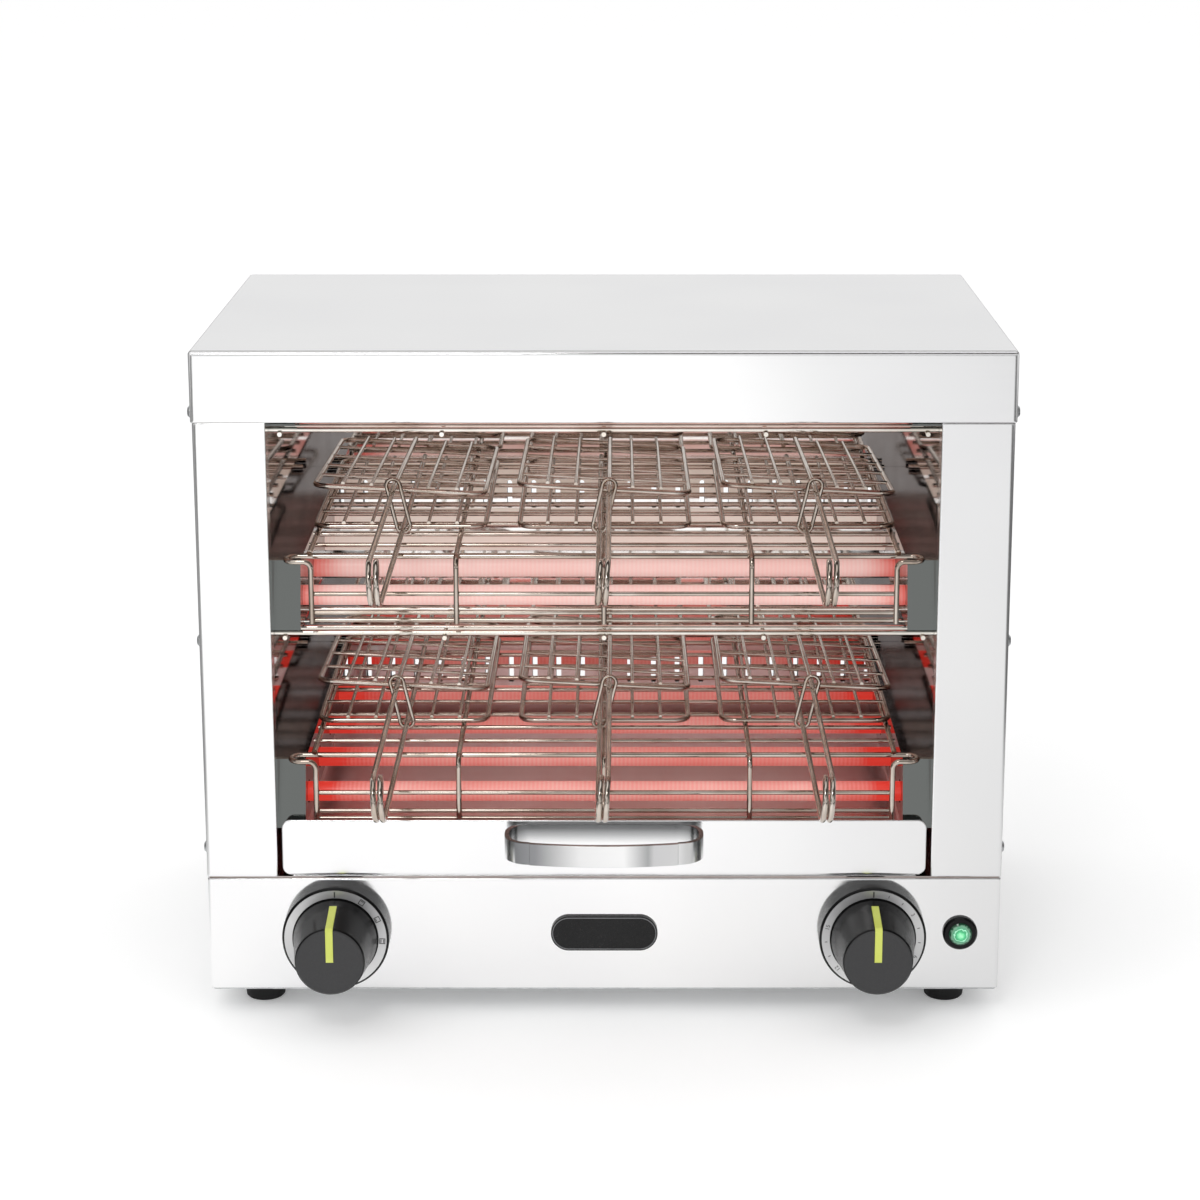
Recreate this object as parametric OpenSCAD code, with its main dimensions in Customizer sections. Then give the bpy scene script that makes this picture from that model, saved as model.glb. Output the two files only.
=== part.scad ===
// Two-level clamp toaster: a folded steel casing round an open chamber, three rows of quartz
// heater tubes, two wire racks, six spring tongs, a crumb tray and a control box with two knobs.
// Millimetres, +Z up, front towards -Y, origin under the middle of the outer box on the floor.

/* [Casing] */
// Clear width of the chamber and of its front opening
chamber_w = 360; // [320:1:420]
// Width of each front stile
stile_w = 40; // [36:1:60]
// Depth from the front face to the rear panel
body_d = 260; // [250:1:320]
// Height of the control box
base_h = 65.5; // [64:0.5:90]
// Height of the front rail and of the top cover's side skirts
rail_h = 38.5; // [34:0.5:42]
// Thickness of the steel sheets
sheet = 1; // [0.8:0.1:1.4]
// Outer radius of the sheet folds
fold_r = 2; // [1.6:0.1:4]
// Width of the folded flanges
flange_w = 12; // [8:1:16]
// Air gap between the chamber's rear wall and the rear panel
rear_gap = 10; // [8:1:20]
// Drop from the top of the casing to the ceiling reflector
ceiling_drop = 11; // [8:1:12]
// Height of the rubber feet
foot_h = 14; // [10:1:30]
// Distance from the casing's sides to the feet's centres
foot_inset = 28; // [20:1:40]

/* [Vents] */
// Width of a vent slot
slot_w = 3.2; // [2:0.1:5]
// Height of a vent slot
slot_h = 18; // [10:1:24]
// Distance from one slot to the next
slot_pitch = 15; // [10:0.5:24]
// Height of the slots' middle above their heater row
slot_rise = 5; // [0:1:8]

/* [Levels] */
// Height of the lowest heater row above the chamber floor
row_rise = 39.5; // [39:0.5:60]
// Height from one level to the next
level_pitch = 113.5; // [105:0.5:140]
// Height from the top heater row to the top of the casing
top_rise = 28; // [25:0.5:40]
// Height of the rack's bars above their heater row
rack_rise = 27; // [24:0.5:31]
// Depth of the tube guard's cross wires below their heater row
guard_drop = 17.5; // [17:0.5:23]

/* [Heaters] */
// Heater tubes in a row
tube_count = 4; // [3:1:5]
// Outer diameter of a quartz tube
tube_d = 11; // [9:0.5:12]
// Wall of a quartz tube
tube_wall = 1; // [0.8:0.1:1.5]
// Distance from the front face to the first tube
tube_front = 30; // [26:1:40]
// Distance from the last tube to the chamber's rear wall
tube_rear = 38; // [20:1:50]
// Width of the channels that cover the tubes' ends
cover_w = 15; // [12:1:16]
// Depth of the channels below their heater row
cover_below = 14.5; // [12:0.5:15]
// Distance from the front face to the foot of a channel's front
cover_front = 10; // [6:1:12]
// Backward lean of a channel's front
cover_lean = 8; // [0:1:8]

/* [Racks] */
// Thickness of the rack's bars and edge wires
rack_wire = 3; // [2.5:0.1:3.5]
// Thickness of the cross wires
cross_wire = 2.5; // [2:0.1:3]
// Bars of a rack
rack_bars = 5; // [3:2:7]
// Distance from a rack's ends to its outer bars
bar_inset = 12.5; // [12:0.5:20]
// Distance from one cross wire to the next
cross_pitch = 24; // [20:1:40]
// Distance from the front face to the rack's front edge wire
rack_front = 20; // [20:1:24]
// Distance from the front face to the front fence
fence_front = 8; // [6:1:9]
// Depth of the fence below the bars
fence_drop = 37; // [34:1:38]
// Distance from the chamber's sides to a tube guard's outer bars
guard_inset = 6; // [4:0.5:12]

/* [Tongs] */
// Tongs on each level
tongs_count = 3; // [2:1:3]
// Free width between the chamber's sides and the outer tongs' share of it
tongs_margin = 9; // [4:0.5:20]
// Free width between one pair of jaws and the next
jaw_gap = 19; // [14:1:30]
// Distance from the front face to the jaws
jaw_front = 64; // [60:1:90]
// Distance from the jaws to the chamber's rear wall
jaw_rear = 16; // [8:1:40]
// Thickness of the arms and of a jaw's frame
arm_wire = 3; // [2.6:0.1:3.4]
// Thickness of a jaw's thin wires
jaw_wire = 2; // [1.6:0.1:2.4]
// Thin wires on each side of a jaw's arm
jaw_bars = 2; // [1:1:3]
// Cross wires of a jaw
jaw_crosses = 4; // [2:1:6]
// Corner radius of a jaw's frame
jaw_corner = 8; // [5:1:14]
// Slope of the upper jaw towards its tip
jaw_slope = 3.5; // [2:0.1:4]
// Roll of the upper jaw about its arm
jaw_roll = 3; // [0:0.1:3]
// Distance from the front face to the axis of the spring coil
coil_out = 106; // [80:1:140]
// Mean radius of the spring coil
coil_r = 10.75; // [9:0.25:14]
// Distance from one turn of the coil to the next
coil_pitch = 3.6; // [3.5:0.1:5]
// Thickness of the lock link's wire
link_wire = 2.2; // [1.8:0.1:2.2]
// Inner width of the lock link
link_bore = 5.2; // [5:0.1:7]
// Play of the lock link over the upper arm
link_play = 3.3; // [3.3:0.1:6]
// Distance from the front face to the lock link
link_front = 52; // [46:1:54]

/* [Crumb tray] */
// Side gap between the tray's front and the opening
tray_gap = 3; // [2:0.5:6]
// Height of the tray's front
tray_front_h = 31.5; // [28:0.5:33]
// Height of the tray's pan
pan_h = 15; // [10:1:18]
// Side gap between the pan and the tray's front edge
pan_inset = 5; // [3:1:12]
// Gap between the pan and the chamber's rear wall
pan_rear = 14; // [6:1:40]
// Corner radius of the tray's front
tray_corner = 4.5; // [2:0.5:8]
// Width of the bow handle
handle_w = 108; // [90:1:140]
// Reach of the bow handle in front of the tray
handle_out = 37; // [30:1:50]
// Height of the handle's strip
handle_h = 12; // [9:1:16]
// Thickness of the handle's strip
handle_strip = 2.5; // [2:0.1:4]
// Corner radius of the handle
handle_corner = 14; // [10:1:15]
// Radius of the bow's front
handle_bow = 220; // [180:10:400]

/* [Controls] */
// Distance from the casing's sides to the knobs' centres
knob_inset = 72; // [70:1:100]
// Height of the knobs and of the name plate above the base
knob_rise = 34; // [33:0.5:36]
// Radius of a knob at its foot
knob_r = 23; // [20:0.5:23]
// Radius of a knob at its face
knob_face_r = 19; // [15:0.5:19]
// Length of a knob
knob_h = 33; // [24:1:40]
// Radius of a knob's bezel
bezel_r = 29.5; // [29:0.5:32]
// Thickness of a bezel
bezel_t = 9.5; // [6:0.5:12]
// Width of a knob's pointer
pointer_w = 4; // [2:0.5:5]
// Radius of a knob's stem
stem_r = 3; // [2.5:0.1:4]
// Distance from the casing's side to the pilot lamp's centre
lamp_inset = 23; // [20:1:26]
// Radius of the pilot lamp's flange
lamp_r = 9.6; // [9:0.1:12]
// Radius of the pilot lamp's lens
lens_r = 6.4; // [5:0.1:7]
// Width of the bare name plate
plate_w = 59; // [40:1:80]
// Height of the bare name plate
plate_h = 20; // [12:1:26]
// Thickness of the bare name plate
plate_t = 2; // [1:0.5:4]
// Reach of the cable gland behind the rear panel
gland_out = 14.25; // [10:0.25:20]
// Radius of the cable gland's bore
gland_bore = 4; // [3:0.5:5]

/* [Hidden] */
$fn = 48;
LEVELS = 2;
TONGS = LEVELS * tongs_count;

// Fits
seat = 0.3;
fit = 0.2;
bore_fit = 0.1;
run_fit = 0.05;
weld = 0.5;
eps = 0.5;

// Casing planes; y counts from the front face
body_w = chamber_w + 2 * stile_w;
opening_x = chamber_w / 2;
skirt_x = body_w / 2;
side_x = skirt_x - sheet;
inner_x = side_x - sheet;
chamber_d = body_d - 2 * sheet - rear_gap;
rear_in = body_d - sheet;
base_z = foot_h + sheet;
floor_z = foot_h + base_h;
floor_top = floor_z + sheet;
row_z = [for (i = [0:LEVELS]) floor_top + row_rise + i * level_pitch];
top_z = row_z[LEVELS] + top_rise;
rail_z = top_z - rail_h;
ceiling_z = top_z - ceiling_drop;
seam_z = floor_top + seat;
tongs_reach = coil_out + coil_r + arm_wire / 2;
front_y = (tongs_reach - body_d - gland_out) / 2;

// Heaters
tube_pitch = (chamber_d - tube_front - tube_rear) / (tube_count - 1);
tube_y = [for (i = [0:tube_count - 1]) tube_front + i * tube_pitch];
cap_grip = 9;
cap_boss_r = tube_d / 2 + 2.5;
cap_flange_r = cap_boss_r + 2.5;
cap_flange_t = 3;
cap_in = 5;
cap_out = 14;
tube_end = opening_x + sheet + cap_grip;
bus_t = 1.2;
bus_h = 8;

// Racks and guards
rack_z = [for (i = [0:LEVELS - 1]) row_z[i] + rack_rise];
edge_drop = rack_wire - weld;
cross_drop = (rack_wire + cross_wire) / 2 - weld;
cover_top = rack_rise - edge_drop - rack_wire / 2 - fit;
rack_half = opening_x - cover_w / 2;
bar_pitch = 2 * (rack_half - bar_inset) / (rack_bars - 1);
rack_back = chamber_d - 6;
bar_bend = 6;
end_bend = 4;
turn_r = (rack_front - fence_front) / 2;
end_bar_x = rack_half - turn_r - 2 * end_bend;
guard_z = [for (i = [1:LEVELS]) row_z[i] - guard_drop];
guard_front = 16;
guard_pair = 10;
guard_back = chamber_d - 10;
guard_end = opening_x + sheet + 3;
guard_pitch = (opening_x - guard_inset) / 2;

// Tongs; z counts from the underside of the lower jaw
tongs_pitch = (chamber_w - 2 * tongs_margin) / tongs_count;
jaw_w = tongs_pitch - jaw_gap;
jaw_l = chamber_d - jaw_front - jaw_rear;
frame_z = arm_wire / 2;
arm_drop = arm_wire - weld;
lower_z = frame_z + arm_drop;
upper_z = lower_z + 2 * coil_r;
coil_turns = 1.5;
coil_rings = 16;
coil_sides = 8;
coil_lead = arm_wire;
arm_x = coil_turns * coil_pitch / 2;
arm_start = coil_lead - coil_out;
slope_lead = 6;
link_r = (link_bore + link_wire) / 2;
link_low = lower_z - arm_wire / 2 - seat + link_bore / 2;
link_high = upper_z + arm_wire / 2 + link_play - link_bore / 2;

// Tray and controls
tray_w = chamber_w - 2 * tray_gap;
tray_z = floor_top + seat;
tray_front_z = floor_top + 1.5;
pan_w = tray_w - 2 * pan_inset;
handle_z = tray_front_z + tray_front_h - 1.5 - handle_h;
knob_x = skirt_x - knob_inset;
lamp_x = skirt_x - lamp_inset;
knob_z = foot_h + knob_rise;
knob_back = bezel_t + 0.4;
knob_top = knob_back + knob_h;
knob_edge = 1.2;
stem_in = 18;
ring_in = knob_r + 0.8;
ring_out = bezel_r - 1.3;
ring_t = 0.7;
groove = 0.6;
switch_size = [42, 38, 42];
timer_size = [50, 42, 50];
lamp_neck_r = lamp_r - 1.7;
lamp_depth = 28;
block_size = [40, 20, 18];
block_y = body_d - 55;
gland_r = gland_bore + 2.5;
gland_z = foot_h + 27;
lead_d = 2.5;

// Screws
screw_r = 1.7;
screw_head_r = 3.4;
screw_head_h = 2;
screw_len = 6;
screw_hole_r = screw_r + fit;
side_screw_y = [8, body_d - 8];
side_screw_z = [floor_top + 15, row_z[1] - 19.5, rail_z + 4.5];
under_screw_x = side_x - 54;
under_screw_y = [flange_w - 3, body_d - flange_w];
foot_screw_z = 5;
foot_recess_r = 4.6;
foot_bore_r = 2.3;

// Frame and wire helpers
module place() {
  translate([0, front_y, 0]) children();
}

module on_front(x, z) {
  place() translate([x, 0, z]) rotate([90, 0, 0]) children();
}

module both_sides() {
  children();
  mirror([1, 0, 0]) children();
}

// Turns a flat outline in Y and Z into a plate of thickness t that starts at x
module plate_x(x, t) {
  translate([x, 0, 0]) rotate([90, 0, 90]) linear_extrude(t) children();
}

// Turns a flat outline in X and Z into a plate of thickness t that starts at y
module plate_y(y, t) {
  translate([0, y + t, 0]) rotate([90, 0, 0]) linear_extrude(t) children();
}

module rod_x(x0, x1, y, z, d) {
  translate([x0, y, z]) rotate([0, 90, 0]) cylinder(d = d, h = x1 - x0);
}

module rod_y(x, y0, y1, z, d) {
  translate([x, y0, z]) rotate([-90, 0, 0]) cylinder(d = d, h = y1 - y0);
}

module rod_z(x, y, z0, z1, d) {
  translate([x, y, z0]) cylinder(d = d, h = z1 - z0);
}

// Wire bent round the origin in X and Y, from angle a0 through a sweep
module bent(r, a0, sweep, d) {
  rotate([0, 0, a0]) rotate_extrude(angle = sweep) translate([r, 0]) circle(d = d);
}

// Outline in plan with rounded front corners
module plan(w, d, r) {
  translate([-w / 2, r]) square([w, d - r]);
  translate([-w / 2 + r, 0]) square([w - 2 * r, d]);
  for (s = [-1, 1]) translate([s * (w / 2 - r), r]) circle(r = r);
}

// Upright outline from z0 to z1 with rounded top corners
module arch(w, z0, z1, r) {
  translate([-w / 2, z0]) square([w, z1 - z0 - r]);
  translate([-w / 2 + r, z0]) square([w - 2 * r, z1 - z0]);
  for (s = [-1, 1]) translate([s * (w / 2 - r), z1 - r]) circle(r = r);
}

module slot(w, h) {
  square([w, h - w], center = true);
  for (s = [-1, 1]) translate([0, s * (h - w) / 2]) circle(d = w);
}

module vent_slots() {
  per_side = floor((opening_x - slot_pitch) / slot_pitch);
  for (row = [0:LEVELS - 1], i = [-per_side:per_side])
    translate([i * slot_pitch, row_z[row] + slot_rise]) slot(slot_w, slot_h);
}

// Casing
module top_cover() {
  color("gainsboro") place() difference() {
    intersection() {
      translate([0, 0, rail_z]) linear_extrude(rail_h) plan(body_w, body_d, fold_r);
      plate_y(0, body_d) arch(body_w, rail_z, top_z, fold_r);
      plate_x(-skirt_x, body_w) translate([body_d / 2 + fold_r / 2, 0])
        arch(body_d + fold_r, rail_z, top_z, fold_r);
    }
    translate([-side_x, sheet, rail_z - eps]) cube([2 * side_x, body_d, rail_h - sheet + eps]);
    both_sides() side_screw_holes();
  }
}

module side_screw_holes() {
  for (y = side_screw_y, z = side_screw_z) rod_x(inner_x - eps, skirt_x + eps, y, z, 2 * screw_hole_r);
}

// Right-hand panel: side wall, front stile, the stile's return and the rear return
module side_panel() {
  difference() {
    union() {
      translate([0, 0, seam_z]) linear_extrude(rail_z - seat - seam_z) difference() {
        translate([opening_x, 0]) union() {
          square([side_x - opening_x - fold_r, body_d - sheet]);
          translate([0, fold_r]) square([side_x - opening_x, body_d - sheet - fold_r]);
          translate([side_x - opening_x - fold_r, fold_r]) circle(r = fold_r);
        }
        translate([opening_x + sheet, sheet]) square([inner_x - opening_x - sheet, body_d - 3 * sheet]);
        translate([opening_x - eps, flange_w]) square([inner_x - flange_w - opening_x + eps, body_d]);
      }
      translate([inner_x, sheet + fit, seam_z])
        cube([sheet, rear_in - sheet - fit, top_z - sheet - seat - seam_z]);
    }
    side_screw_holes();
    for (z = rear_screw_z()) rod_y(rear_screw_x(), rear_in - 3 * sheet, body_d + eps, z, 2 * screw_hole_r);
  }
}

function rear_screw_x() = inner_x - flange_w / 2;
function rear_screw_z() = [floor_top + 20, row_z[1], rail_z - 20];

module side_panel_right() {
  color("gainsboro") place() side_panel();
}

module side_panel_left() {
  color("gainsboro") place() mirror([1, 0, 0]) side_panel();
}

module rear_panel() {
  color("gainsboro") place() plate_y(rear_in, sheet) difference() {
    translate([-inner_x + fit, base_z]) square([2 * (inner_x - fit), top_z - sheet - fit - base_z]);
    vent_slots();
    for (s = [-1, 1], z = rear_screw_z()) translate([s * rear_screw_x(), z]) circle(r = screw_hole_r);
    translate([-knob_x, gland_z]) circle(r = gland_r + fit);
  }
}

module control_panel() {
  color("gainsboro") place() difference() {
    translate([0, 0, base_z]) linear_extrude(floor_z - base_z) plan(2 * side_x, body_d, fold_r);
    translate([-inner_x, sheet, base_z + sheet])
      cube([2 * inner_x, body_d, floor_z - base_z - 2 * sheet]);
    translate([-inner_x + flange_w, flange_w, base_z - eps])
      cube([2 * (inner_x - flange_w), body_d, base_h + eps]);
    translate([-inner_x, rear_in - fit, base_z - eps]) cube([2 * inner_x, body_d, base_h + eps]);
    for (s = [-1, 1]) translate([s * knob_x, -eps, knob_z]) rotate([-90, 0, 0])
      cylinder(r = 2 * stem_r, h = sheet + 2 * eps);
    translate([lamp_x, -eps, knob_z]) rotate([-90, 0, 0])
      cylinder(r = lamp_neck_r + fit, h = sheet + 2 * eps);
    under_screw_holes();
  }
}

module under_screw_holes() {
  for (x = [-under_screw_x, 0, under_screw_x]) rod_z(x, under_screw_y[0], 0, base_z + 3 * sheet, 2 * screw_hole_r);
  for (s = [-1, 1]) rod_z(s * (inner_x - flange_w / 2), under_screw_y[1], 0, base_z + 3 * sheet, 2 * screw_hole_r);
}

module bottom_plate() {
  color("silver") place() difference() {
    translate([0, 0, foot_h]) linear_extrude(sheet) translate([0, sheet])
      plan(2 * (side_x - sheet), body_d - sheet, fold_r);
    under_screw_holes();
    foot_places() cylinder(r = screw_hole_r, h = base_z + eps);
  }
}

module foot_places() {
  for (s = [-1, 1], y = [foot_inset, body_d - foot_inset])
    translate([s * (skirt_x - foot_inset), y, 0]) children();
}

module feet() {
  color("black") place() foot_places() rotate_extrude()
    polygon([
      [foot_recess_r, 0], [10.2, 0], [10.9, 0.8], [12.2, foot_h],
      [foot_bore_r, foot_h], [foot_bore_r, foot_screw_z], [foot_recess_r, foot_screw_z]
    ]);
}

// Pan-head screw along +Z with the head's seat at the origin
module screw(len) {
  rotate_extrude() polygon([
    [0, -len], [screw_r, -len], [screw_r, 0], [screw_head_r, 0],
    [screw_head_r, 0.4 * screw_head_h], [0.7 * screw_head_r, 0.95 * screw_head_h], [0, screw_head_h]
  ]);
}

module screws() {
  color("lightgray") place() {
    both_sides() for (y = side_screw_y, i = [0:2])
      translate([i == 2 ? skirt_x : side_x, y, side_screw_z[i]]) rotate([0, 90, 0]) screw(screw_len);
    for (s = [-1, 1], z = rear_screw_z())
      translate([s * rear_screw_x(), body_d, z]) rotate([-90, 0, 0]) screw(screw_len);
    for (x = [-under_screw_x, 0, under_screw_x])
      translate([x, under_screw_y[0], foot_h]) rotate([180, 0, 0]) screw(screw_len);
    for (s = [-1, 1]) translate([s * (inner_x - flange_w / 2), under_screw_y[1], foot_h])
      rotate([180, 0, 0]) screw(screw_len);
    foot_places() translate([0, 0, foot_screw_z]) rotate([180, 0, 0]) screw(base_z - foot_screw_z + 2);
  }
}

// Chamber
module chamber_floor() {
  color("silver") place() translate([-inner_x + fit, sheet + fit, floor_z])
    cube([2 * (inner_x - fit), rear_in - sheet - 2 * fit, sheet]);
}

module chamber_rear() {
  color("whitesmoke") place() plate_y(chamber_d, sheet) difference() {
    translate([-opening_x - sheet, floor_top]) square([2 * (opening_x + sheet), ceiling_z - floor_top]);
    vent_slots();
  }
}

module chamber_sides() {
  color("whitesmoke") place() both_sides() plate_x(opening_x, sheet) difference() {
    translate([flange_w, floor_top]) square([chamber_d - flange_w, ceiling_z - floor_top]);
    for (y = tube_y, z = row_z) translate([y, z]) circle(r = cap_boss_r + fit);
    for (y = [guard_front, guard_back], z = guard_z) translate([y, z]) circle(r = rack_wire / 2 + fit);
  }
}

module ceiling_reflector() {
  color("whitesmoke") place() translate([-opening_x - sheet, flange_w, ceiling_z])
    cube([2 * (opening_x + sheet), chamber_d + sheet - flange_w, sheet]);
}

// Channel over the tubes' ends on the right: a tray of sheet, open towards the chamber's side
module tube_cover(z0, z1) {
  back = chamber_d - seat;
  lean = cover_lean / (z1 - z0);
  wall = sheet * sqrt(1 + lean * lean);
  difference() {
    plate_x(opening_x - cover_w, cover_w)
      polygon([[cover_front, z0], [back, z0], [back, z1], [cover_front + cover_lean, z1]]);
    plate_x(opening_x - cover_w + sheet, cover_w) polygon([
      [cover_front + wall + lean * sheet, z0 + sheet], [back - sheet, z0 + sheet],
      [back - sheet, z1 - sheet], [cover_front + cover_lean + wall - lean * sheet, z1 - sheet]
    ]);
    for (y = tube_y) rod_x(opening_x - cover_w - eps, opening_x, y, z0 + cover_below, tube_d + 2);
  }
}

module tube_covers() {
  color("dimgray") place() both_sides() for (i = [0:LEVELS])
    tube_cover(row_z[i] - cover_below, i < LEVELS ? row_z[i] + cover_top : ceiling_z - fit);
}

module tube_places() {
  place() for (y = tube_y, z = row_z) translate([0, y, z]) rotate([0, 90, 0]) children();
}

module quartz_tubes() {
  color("mistyrose") tube_places() difference() {
    translate([0, 0, -tube_end]) cylinder(d = tube_d, h = 2 * tube_end);
    translate([0, 0, -tube_end - eps]) cylinder(d = tube_d - 2 * tube_wall, h = 2 * (tube_end + eps));
  }
}

// Wound heating wire on its carrier, as one plain core inside each tube
module heater_cores() {
  color("orangered") tube_places() translate([0, 0, -tube_end + cap_in])
    cylinder(d = tube_d - 2 * tube_wall - 2 * seat, h = 2 * (tube_end - cap_in));
}

// Ceramic cap: boss through the chamber's side, flange outside it, blind bore for the tube
module tube_caps() {
  bore_r = tube_d / 2 + bore_fit;
  color("ivory") tube_places() for (s = [0, 1]) mirror([0, 0, s]) translate([0, 0, opening_x])
    rotate_extrude() polygon([
      [bore_r, -cap_in], [cap_boss_r, -cap_in], [cap_boss_r, sheet], [cap_flange_r, sheet],
      [cap_flange_r, sheet + cap_flange_t], [cap_boss_r - 0.5, sheet + cap_flange_t],
      [cap_boss_r - 0.5, sheet + cap_out], [0, sheet + cap_out],
      [0, sheet + cap_grip + seat], [bore_r, sheet + cap_grip + seat]
    ]);
}

module bus_bars() {
  color("goldenrod") place() both_sides() for (z = row_z)
    translate([opening_x + sheet + cap_out, tube_y[0] - bus_h, z - bus_h / 2])
      cube([bus_t, tube_y[tube_count - 1] - tube_y[0] + 2 * bus_h, bus_h]);
}

// Wire rack: bars that bend down into a front fence, cross wires under them, hairpin ends
module rack(z) {
  edge_z = z - edge_drop;
  half_bars = (rack_bars - 1) / 2;
  inner_bars = [for (k = [1 - half_bars:half_bars - 1]) k * bar_pitch];
  fence_z = z - fence_drop;
  fence_y = fence_front + cross_drop;
  crosses = floor((rack_back - 3 - rack_front) / cross_pitch);
  cross_half = half_bars * bar_pitch + rack_wire;
  for (x = inner_bars) {
    rod_y(x, fence_front + bar_bend, rack_back, z, rack_wire);
    translate([x, fence_front + bar_bend, z - bar_bend]) rotate([90, 0, 90]) bent(bar_bend, 90, 90, rack_wire);
    rod_z(x, fence_front, fence_z, z - bar_bend, rack_wire);
  }
  for (s = [-1, 1]) rod_y(s * half_bars * bar_pitch, rack_front - rack_wire, rack_back, z, rack_wire);
  for (i = [1:crosses - 1])
    rod_x(-cross_half, cross_half, rack_front + i * cross_pitch, z - cross_drop, cross_wire);
  rod_x(-rack_half, rack_half, rack_back - rack_wire, edge_z, rack_wire);
  rod_x(-rack_half + turn_r, rack_half - turn_r, rack_front, edge_z, rack_wire);
  both_sides() hairpin(edge_z, fence_z);
  for (drop = [21, 31.5, fence_drop - cross_wire / 2])
    rod_x(-end_bar_x, end_bar_x, fence_y, z - drop, cross_wire);
}

// End of the front edge wire: turns back on itself, then bends down as the fence's last upright
module hairpin(z, fence_z) {
  turn_x = rack_half - turn_r;
  translate([turn_x, (rack_front + fence_front) / 2, z]) bent(turn_r, -90, 180, rack_wire);
  rod_x(end_bar_x + end_bend, turn_x, fence_front, z, rack_wire);
  translate([end_bar_x + end_bend, fence_front, z - end_bend]) rotate([90, 0, 0])
    bent(end_bend, 90, 90, rack_wire);
  rod_z(end_bar_x, fence_front, fence_z, z - end_bend, rack_wire);
}

module rack_lower() {
  color("darkgray") place() rack(rack_z[0]);
}

module rack_upper() {
  color("darkgray") place() rack(rack_z[1]);
}

// Wire grid under a heater row, held by the ends of its edge wires in the chamber's sides. A second wire lies behind
// the front one.
module tube_guard(z) {
  crosses = floor((guard_back - guard_front) / cross_pitch);
  for (y = [guard_front, guard_back]) rod_x(-guard_end, guard_end, y, z, rack_wire);
  rod_x(-2 * guard_pitch, 2 * guard_pitch, guard_front + guard_pair, z, rack_wire);
  for (i = [1:crosses - 1])
    rod_x(-2 * guard_pitch, 2 * guard_pitch, guard_front + i * cross_pitch, z, cross_wire);
  for (k = [-2:2]) rod_y(k * guard_pitch, guard_front - 3, guard_back + 3, z - cross_drop, cross_wire);
}

module tube_guards() {
  color("darkgray") place() for (z = guard_z) tube_guard(z);
}

// Tongs
function tongs_level(i) = i <= tongs_count ? LEVELS - 1 : 0;
function tongs_x(i) = ((i - 1) % tongs_count - (tongs_count - 1) / 2) * tongs_pitch;
function tongs_z(i) = rack_z[tongs_level(i)] + rack_wire / 2 + seat;
// Which side of the tongs the lower arm lies on: the first pair on each level is turned over
function tongs_hand(i) = (i - 1) % tongs_count == 0 ? 1 : -1;

module tongs_place(i) {
  place() translate([tongs_x(i), 0, tongs_z(i)]) children();
}

// Frame and thin wires of a jaw, from y = 0, with the arm's axis at z = 0 and x = 0
module jaw_grid(centre_x) {
  half_w = jaw_w / 2;
  translate([centre_x, 0, -arm_drop]) {
    for (s = [-1, 1]) rod_y(s * half_w, jaw_corner, jaw_l - jaw_corner, 0, arm_wire);
    for (y = [0, jaw_l]) rod_x(-half_w + jaw_corner, half_w - jaw_corner, y, 0, arm_wire);
    for (k = [0:3]) translate([(k == 0 || k == 3 ? 1 : -1) * (half_w - jaw_corner),
      k < 2 ? jaw_l - jaw_corner : jaw_corner, 0]) bent(jaw_corner, 90 * k, 90, arm_wire);
    for (s = [-1, 1], k = [1:jaw_bars])
      rod_y(s * k * half_w / (jaw_bars + 1), 0, jaw_l, (arm_wire + jaw_wire) / 2 - weld, jaw_wire);
    for (k = [1:jaw_crosses]) rod_x(-half_w, half_w, k * jaw_l / (jaw_crosses + 1), weld, jaw_wire);
  }
}

module tongs_lower(i) {
  x = tongs_hand(i) * arm_x;
  color("lightgray") tongs_place(i) {
    rod_y(x, arm_start, jaw_front + jaw_l, lower_z, arm_wire);
    translate([x, jaw_front, lower_z]) jaw_grid(-x);
  }
}

// The upper arm kinks down just before its jaw: two lengths of wire cut to one mitre
module tongs_upper(i) {
  x = -tongs_hand(i) * arm_x;
  cut = 2 * arm_wire;
  color("lightgray") tongs_place(i) translate([x, jaw_front - slope_lead, upper_z]) {
    difference() {
      rod_y(0, arm_start - jaw_front + slope_lead, arm_wire, 0, arm_wire);
      rotate([-jaw_slope / 2, 0, 0]) translate([-cut / 2, 0, -cut / 2]) cube(cut);
    }
    rotate([-jaw_slope, 0, 0]) {
      difference() {
        rod_y(0, -arm_wire, slope_lead + jaw_l, 0, arm_wire);
        rotate([jaw_slope / 2, 0, 0]) translate([-cut / 2, -cut, -cut / 2]) cube(cut);
      }
      translate([0, slope_lead, 0]) rotate([0, jaw_roll, 0]) jaw_grid(-x);
    }
  }
}

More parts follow.
